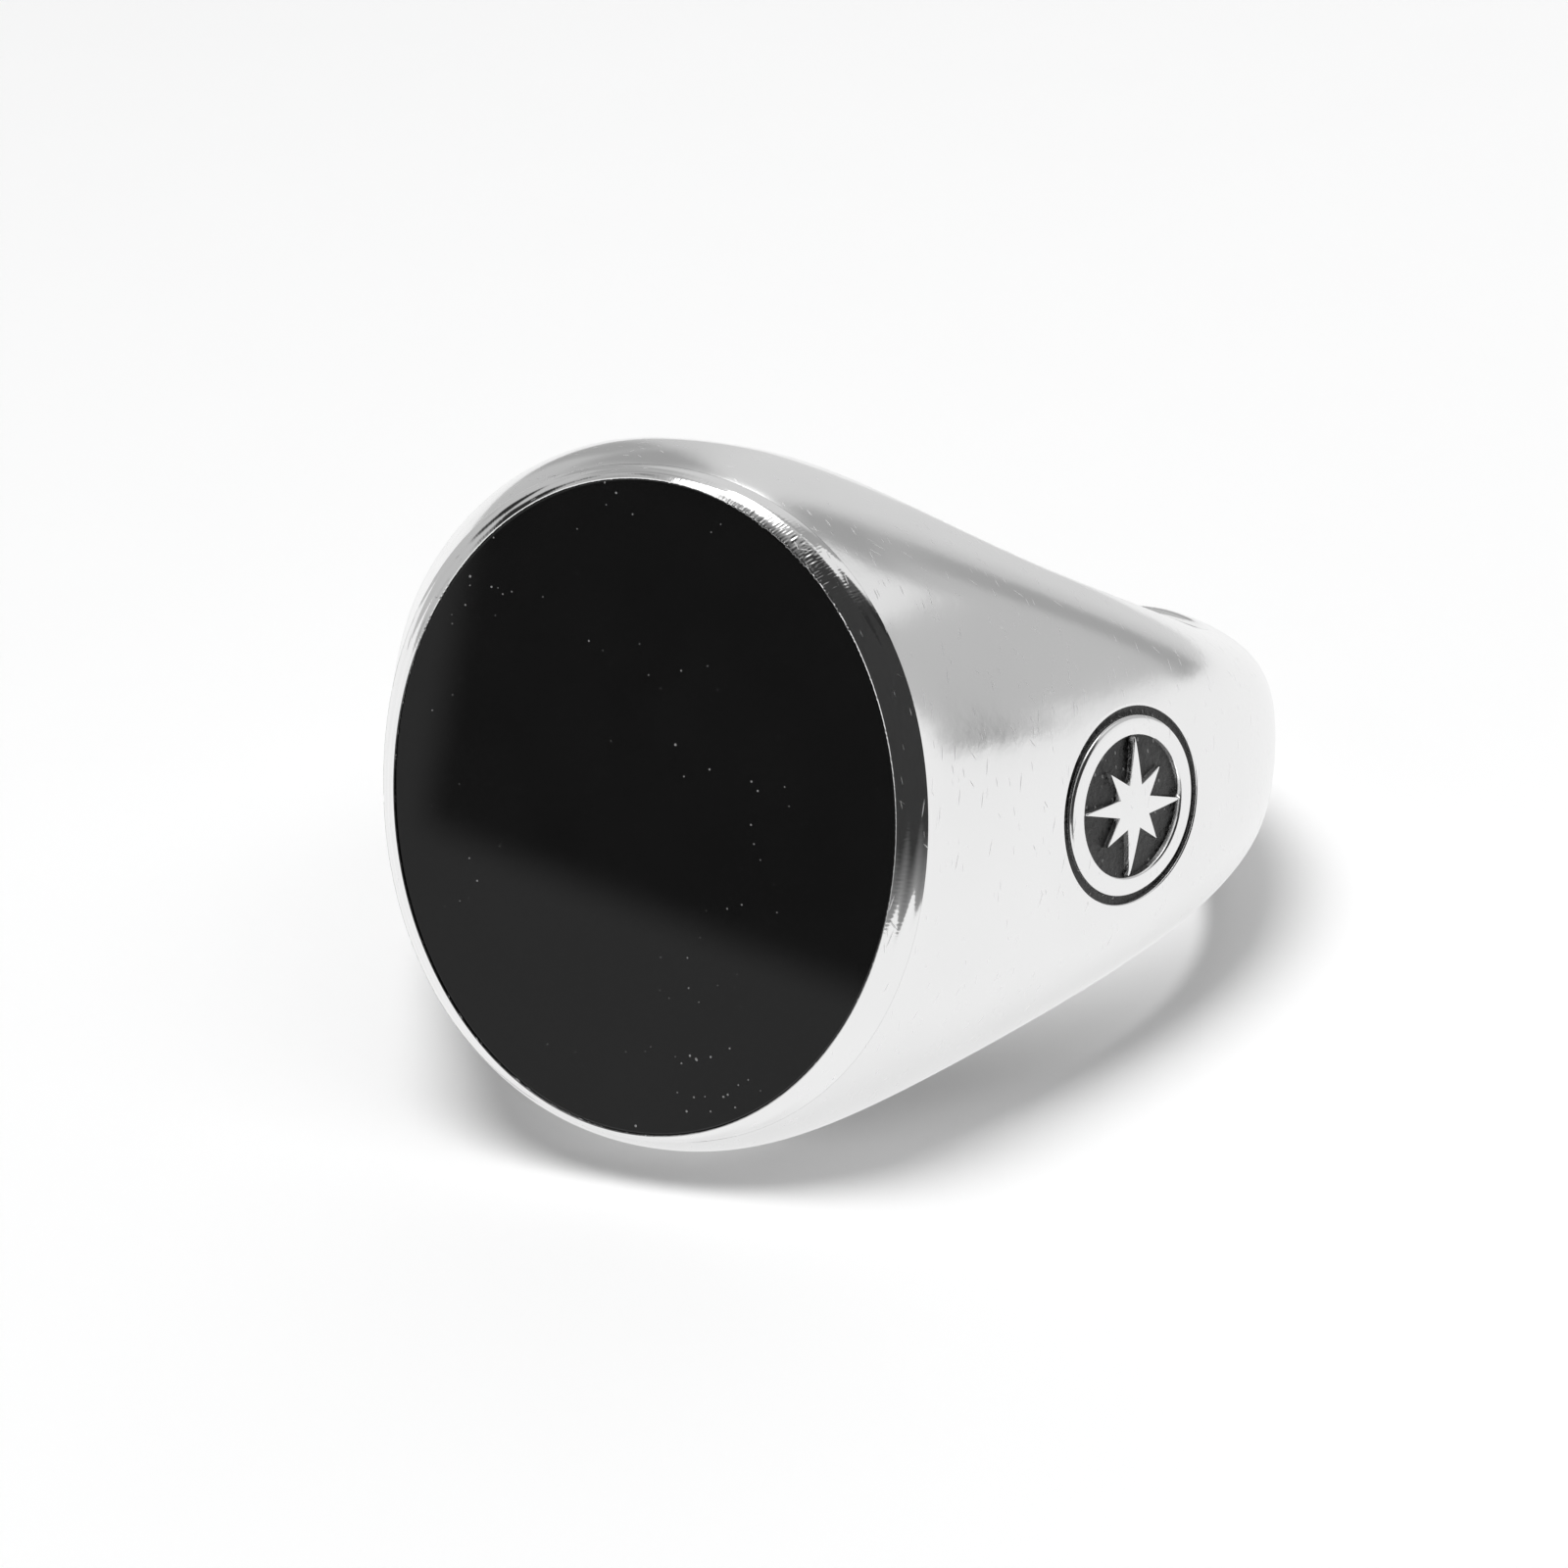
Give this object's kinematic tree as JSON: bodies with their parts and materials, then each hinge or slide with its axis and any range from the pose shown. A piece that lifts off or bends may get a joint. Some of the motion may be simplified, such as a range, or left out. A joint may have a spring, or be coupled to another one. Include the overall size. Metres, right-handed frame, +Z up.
{
  "type": "signet ring",
  "caption": "Heavy silver signet ring with a flat oval black stone, tapering shoulders and a round inlaid badge in each shoulder.",
  "frame": {"origin": "under the middle of the ring, on the plane that it lies on", "axes": "+Z up, with the ring lying on one side; +X across the face, and the oval face looks towards -Y and leans back by 18 degrees"},
  "size_m": [0.024, 0.0264, 0.0177],
  "materials": {
    "polished_silver": "polished",
    "black_onyx": "polished",
    "stone_cement": "matte",
    "black_enamel": "satin"
  },
  "bodies": {
    "root": {"ring_body": "polished_silver", "bezel_collar": "polished_silver", "onyx_inlay": "black_onyx", "stone_cement": "stone_cement", "right_badge": "polished_silver", "left_badge": "polished_silver", "right_field_enamel": "black_enamel", "left_field_enamel": "black_enamel", "right_groove_enamel": "black_enamel", "left_groove_enamel": "black_enamel"}
  },
  "joints": []
}
